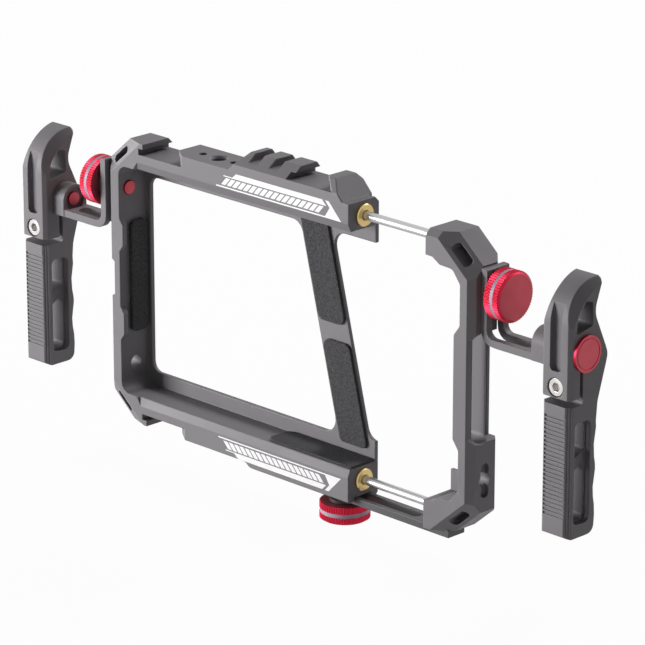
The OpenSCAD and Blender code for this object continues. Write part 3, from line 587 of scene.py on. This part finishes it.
def calm_corners(piece, width):
    """Rounds the edges less where the rounding pokes out of the piece or folds over."""
    mesh = piece.data
    for _ in range(CALM_ROUNDS):
        places = faulty_places(piece, STRAY_SHARE * width)
        if not places:
            return
        tree = point_tree(places)
        near = [tree.find(vert.co)[2] < CALM_REACH * width for vert in mesh.vertices]
        for edge, weight in zip(mesh.edges, mesh.attributes["bevel_weight_edge"].data):
            if near[edge.vertices[0]] or near[edge.vertices[1]]:
                weight.value *= CALM_SHARE
        mesh.update()


# Normals that agree this far, either way round, belong to one flat face
FLAT_SHARE = 0.98
UNFOLD_ROUNDS = 6


def unfold(piece, plain):
    """Turns the long edges of the triangles that the rounding has folded over in flat faces."""
    shape = bmesh.new()
    shape.from_mesh(piece.data)
    bmesh.ops.triangulate(shape, faces=shape.faces[:])
    for _ in range(UNFOLD_ROUNDS):
        shape.normal_update()
        folded = [
            face
            for face in shape.faces
            if face.normal.dot(plain.find_nearest(face.calc_center_median())[1]) < -FLAT_SHARE
        ]
        for face in folded:
            if face.is_valid:
                edge = max(face.edges, key=lambda side: side.calc_length())
                if all(abs(face.normal.dot(near.normal)) > FLAT_SHARE for near in edge.link_faces):
                    bmesh.utils.edge_rotate(edge)
    shape.to_mesh(piece.data)
    shape.free()


def broken_edges(node, material, width, crease):
    """Replaces a CAD node by a copy with rounded edges, shaded smooth up to a crease angle."""
    piece = merged_copy(node, node + "_milled")
    plain = face_tree(piece.data)
    weigh_edges(piece, width)
    bevel = piece.modifiers.new("edges", "BEVEL")
    bevel.width = width
    bevel.segments = 2
    bevel.limit_method = "WEIGHT"
    bevel.use_clamp_overlap = False
    bevel.miter_outer = "MITER_ARC"
    calm_corners(piece, width)
    apply_modifiers(piece)
    unfold(piece, plain)
    bpy.ops.object.shade_smooth_by_angle(angle=crease)
    flat = piece.modifiers.new("flat", "WEIGHTED_NORMAL")
    flat.mode = "FACE_AREA"
    flat.weight = 100
    flat.keep_sharp = True
    apply_modifiers(piece)
    stand_for(piece, node, material)


# Steps


class CAGE_OT_stage(bpy.types.Operator):
    """Floor, world, lamps and camera."""

    bl_idname = "cage.stage"
    bl_label = "Studio stage"

    # Place of each lamp, and its width and height, in metres
    lamps = {
        "key": ((-1.16, -1.2, 0.2), (0.9, 0.38)),
        "side": ((-1.64, 0, 0.29), (0.8, 0.5)),
        "back": ((0.04, 1.26, 1.19), (0.8, 0.6)),
        "fill": ((1.45, -0.55, 0.6), (0.8, 0.8)),
    }
    floor_size = 8
    floor_gap = 0.5 * MM
    floor_grey = (0.6, 0.6, 0.6)
    # Share of pure white in what is seen of the floor
    floor_white = 0.97
    sensor_width = 36

    def execute(self, context):
        values = context.scene.cage_studio
        low, high = CAD_BOX
        self.floor(low.z)
        self.world(context.scene, values.ambient)
        for name, (place, size) in self.lamps.items():
            self.lamp(name, place, (low + high) / 2, size, getattr(values, name))
        self.camera(context.scene, values)
        context.scene.view_settings.view_transform = "Standard"
        return {"FINISHED"}

    def seen_share(self, material):
        """1 for what the camera sees, directly or in gloss and glass, and 0 for other light."""
        path = add_node(material, "LightPath")
        seen = path.outputs["Is Camera Ray"]
        for name in ("Is Glossy Ray", "Is Transmission Ray"):
            both = add_node(material, "Math", operation="MAXIMUM")
            join(material, seen, both.inputs[0])
            join(material, path.outputs[name], both.inputs[1])
            seen = both.outputs["Value"]
        return seen

    def floor(self, height):
        """A pale floor just under the object, that keeps a part of its shadow."""
        bpy.ops.object.select_all(action="DESELECT")
        bpy.ops.mesh.primitive_plane_add(
            size=self.floor_size, location=(0, 0, height - self.floor_gap)
        )
        plane = bpy.context.active_object
        plane.name = "floor"
        material, shader = start_material("pale_floor", self.floor_grey, 0, 0.9)
        glow = add_node(material, "Emission")
        mixed = add_node(material, "MixShader")
        white = add_node(material, "Math", operation="MULTIPLY")
        white.inputs[1].default_value = self.floor_white
        join(material, self.seen_share(material), white.inputs[0])
        join(material, white.outputs["Value"], mixed.inputs["Fac"])
        join(material, shader.outputs["BSDF"], mixed.inputs[1])
        join(material, glow.outputs["Emission"], mixed.inputs[2])
        surface = material.node_tree.nodes["Material Output"].inputs["Surface"]
        join(material, mixed.outputs["Shader"], surface)
        plane.data.materials.append(material)

    def world(self, scene, ambient):
        """A world that is seen as white and lights the object with the ambient strength."""
        world = bpy.data.worlds.new("studio")
        scene.world = world
        world.use_nodes = True
        light = world.node_tree.nodes["Background"]
        light.inputs["Color"].default_value = (1, 1, 1, 1)
        strength = remap(world, self.seen_share(world), (0, 1), (ambient, 1))
        join(world, strength, light.inputs["Strength"])

    def lamp(self, name, place, aim, size, watts):
        """An area lamp that faces a point."""
        bpy.ops.object.light_add(type="AREA", location=place)
        lamp = bpy.context.active_object
        lamp.name = name
        lamp.data.energy = watts
        lamp.data.shape = "RECTANGLE"
        lamp.data.size, lamp.data.size_y = size
        lamp.rotation_euler = (aim - Vector(place)).to_track_quat("-Z", "Y").to_euler()

    def camera(self, scene, values):
        """The scene's camera, at its distance and angles from the target."""
        turn, rise = values.azimuth, values.elevation
        level = math.cos(rise)
        back = Vector((math.sin(turn) * level, -math.cos(turn) * level, math.sin(rise)))
        bpy.ops.object.camera_add(location=Vector(values.target) + back * values.distance)
        camera = bpy.context.active_object
        camera.rotation_euler = (-back).to_track_quat("-Z", "Y").to_euler()
        camera.data.lens = values.lens
        camera.data.sensor_width = self.sensor_width
        scene.camera = camera


class CAGE_OT_grey_parts(bpy.types.Operator):
    """Frames, brackets and grips in blasted grey with broken edges."""

    bl_idname = "cage.grey_parts"
    bl_label = "Grey parts"

    frame_crease = math.radians(18)
    arm_crease = math.radians(21)

    def execute(self, context):
        look, width = finish(), sizes().edge_round
        grey = blasted_anodised("anodised_grey", look.grey, look.worn_grey, 0.1, 0.5, 0.62)
        for node in ("main_frame", "slide_frame"):
            broken_edges(node, grey, width, self.frame_crease)
        for side in SIDES:
            for part in ("_bracket", "_grip"):
                broken_edges(side + part, grey, width, self.arm_crease)
        return {"FINISHED"}


class CAGE_OT_knobs(bpy.types.Operator):
    """Lock knob and bracket knobs with their rings, studs and washers."""

    bl_idname = "cage.knobs"
    bl_label = "Knobs"

    def execute(self, context):
        look = finish()
        black = moulded_black("black_washer", look.black)
        for name, axis in (("lock", "Z"), ("left", "X"), ("right", "X")):
            turned = axis, middle(name + "_knob")
            # The knobs' end faces get the paler face red: a painted sheen
            red = turned_metal(
                name + "_red", look.red, look.worn_red, *turned, 0.4, 0.85, face=look.painted_sheen_red
            )
            ring = turned_metal(name + "_ring", look.ring, look.ring, *turned, 0.58, 0.25)
            dress(name + "_knob", red)
            dress(name + "_stud", red)
            dress(name + "_knob_ring", ring)
            dress(name + "_washer", black)
        return {"FINISHED"}


class CAGE_OT_pivots(bpy.types.Operator):
    """Pivot bolts and clamp screws of the grips."""

    bl_idname = "cage.pivots"
    bl_label = "Pivot bolts and screws"

    def execute(self, context):
        look = finish()
        for side in SIDES:
            bolt, screw = side + "_pivot_bolt", side + "_clamp_screw"
            # The bolts' end faces get the paler face red: a painted sheen
            red = turned_metal(
                side + "_pivot_red",
                look.red,
                look.worn_red,
                "X",
                middle(bolt),
                0.34,
                0.8,
                face=look.painted_sheen_red,
            )
            dress(bolt, red)
            bright = turned_metal(
                side + "_screw_bright", look.bright, look.bright, "Y", middle(screw), 0.24
            )
            dress(screw, bright)
        return {"FINISHED"}


class CAGE_OT_slide(bpy.types.Operator):
    """Guide rods, bushes, rail and their screws."""

    bl_idname = "cage.slide"
    bl_label = "Guide rods and rail"

    def execute(self, context):
        look = finish()
        steel = ground_steel("ground_steel", look.steel)
        for level in ("top", "bottom"):
            bush = level + "_bush"
            brass = turned_metal(level + "_brass", look.brass, look.brass, "X", middle(bush), 0.24)
            dress(bush, brass)
            dress(level + "_rod", steel)
        dress("slide_rail", blasted_anodised("dark_rail", look.rail, look.grey, 0.4, 0.34, 0.48))
        bright = turned_metal(
            "rail_bright", look.bright, look.bright, "Z", middle("rail_screws"), 0.28
        )
        dress("rail_screws", bright)
        dress("rod_set_screws", moulded_black("black_screw", look.black, 0.6))
        return {"FINISHED"}


class CAGE_OT_pads(bpy.types.Operator):
    """Foam pads with soft edges and a cellular skin."""

    bl_idname = "cage.pads"
    bl_label = "Foam pads"

    voxel = 0.3 * MM

    def execute(self, context):
        foam = foam_rubber("foam_rubber", finish().foam)
        skin = bpy.data.textures.new("foam_cells", "CLOUDS")
        skin.noise_scale = sizes().pad_cell
        skin.noise_depth = 2
        for node in ("brace_pad_upper", "brace_pad_lower", "left_wall_pad", "bottom_pad"):
            pad = merged_copy(node, node + "_foam")
            pad.data.remesh_voxel_size = self.voxel
            bpy.ops.object.voxel_remesh()
            soften = pad.modifiers.new("soften", "SMOOTH")
            soften.factor = 0.5
            soften.iterations = 4
            cells = pad.modifiers.new("cells", "DISPLACE")
            cells.texture = skin
            cells.texture_coords = "LOCAL"
            cells.strength = sizes().pad_relief
            cells.mid_level = 0.75
            apply_modifiers(pad)
            bpy.ops.object.shade_smooth()
            stand_for(pad, node, foam)
        return {"FINISHED"}


class CAGE_OT_arrows(bpy.types.Operator):
    """Printed arrows with slanted cells on the front of the two bars."""

    bl_idname = "cage.arrows"
    bl_label = "Printed arrows"

    # Corner points of the upper arrow on the front face in millimetres, along X and up
    band = (
        (10.2, 103.65),
        (10.2, 104.0),
        (14.6, 104.0),
        (16.5, 105.6),
        (58.8, 105.6),
        (60.8, 103.65),
    )
    head = (
        (6.3, 99.45),
        (6.6, 99.95),
        (60.2, 99.95),
        (62.4, 103.3),
        (60.2, 105.6),
        (62.0, 105.6),
        (68.0, 99.45),
    )
    cell_low, cell_high = 100.55, 103.2
    cell_start, cell_slant = 9.0, 2.4
    # The heights of a point of the upper arrow and of its mirror image add up to this
    mirror_sum = 105.7

    def execute(self, context):
        ink = screen_ink("white_ink", finish().print_white)
        self.arrow("upper_arrow", lambda z: z, ink)
        self.arrow("lower_arrow", lambda z: self.mirror_sum - z, ink)
        return {"FINISHED"}

    def face(self, corners, height):
        """A flat polygon on the front face of the main frame."""
        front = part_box("main_frame")[0].y
        mesh = bpy.data.meshes.new("ink")
        points = [(x * MM, front, height(z) * MM) for x, z in corners]
        mesh.from_pydata(points, [], [list(range(len(points)))])
        piece = bpy.data.objects.new("ink", mesh)
        bpy.context.scene.collection.objects.link(piece)
        return piece

    def cells(self, height):
        """The row of slanted cells."""
        start, slant = self.cell_start, self.cell_slant
        end = start + sizes().cell_width / MM
        low, high = self.cell_low, self.cell_high
        corners = ((start, low), (end, low), (end + slant, high), (start + slant, high))
        cell = self.face(corners, height)
        row = cell.modifiers.new("row", "ARRAY")
        row.count = sizes().cell_count
        row.use_relative_offset = False
        row.use_constant_offset = True
        row.constant_offset_displace = (sizes().cell_pitch, 0, 0)
        apply_modifiers(cell)
        return cell

    def arrow(self, name, height, ink):
        """An arrow of a thin layer of ink, with its heights given by a function."""
        cells = self.cells(height)
        band, head = self.face(self.band, height), self.face(self.head, height)
        select_only(band)
        head.select_set(True)
        cells.select_set(True)
        bpy.ops.object.join()
        band.name = name
        bpy.ops.object.mode_set(mode="EDIT")
        bpy.ops.mesh.select_all(action="SELECT")
        bpy.ops.mesh.extrude_region_move(TRANSFORM_OT_translate={"value": (0, -sizes().ink, 0)})
        bpy.ops.mesh.select_all(action="SELECT")
        bpy.ops.mesh.normals_make_consistent(inside=False)
        bpy.ops.object.mode_set(mode="OBJECT")
        coat(band, ink)
        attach(band, "main")


class CAGE_PT_panel(bpy.types.Panel):
    """Sidebar panel with the settings and the steps that dress the cage."""

    bl_idname = "CAGE_PT_panel"
    bl_label = "Phone Cage"
    bl_space_type = "VIEW_3D"
    bl_region_type = "UI"
    bl_category = "Phone Cage"

    def draw(self, context):
        scene = context.scene
        for group in (scene.cage_finish, scene.cage_sizes, scene.cage_studio):
            for name in group.__annotations__:
                self.layout.prop(group, name)
        for step in STEPS:
            self.layout.operator(step.bl_idname)


STEPS = (
    CAGE_OT_stage,
    CAGE_OT_grey_parts,
    CAGE_OT_knobs,
    CAGE_OT_pivots,
    CAGE_OT_slide,
    CAGE_OT_pads,
    CAGE_OT_arrows,
)
CLASSES = (CageFinish, CageSizes, CageStudio, *STEPS, CAGE_PT_panel)


def register():
    for cls in CLASSES:
        bpy.utils.register_class(cls)
    bpy.types.Scene.cage_finish = PointerProperty(type=CageFinish)
    bpy.types.Scene.cage_sizes = PointerProperty(type=CageSizes)
    bpy.types.Scene.cage_studio = PointerProperty(type=CageStudio)


def unregister():
    del bpy.types.Scene.cage_studio
    del bpy.types.Scene.cage_sizes
    del bpy.types.Scene.cage_finish
    for cls in reversed(CLASSES):
        bpy.utils.unregister_class(cls)


def main():
    register()
    for step in STEPS:
        group, name = step.bl_idname.split(".")
        getattr(getattr(bpy.ops, group), name)()


if __name__ == "__main__":
    main()
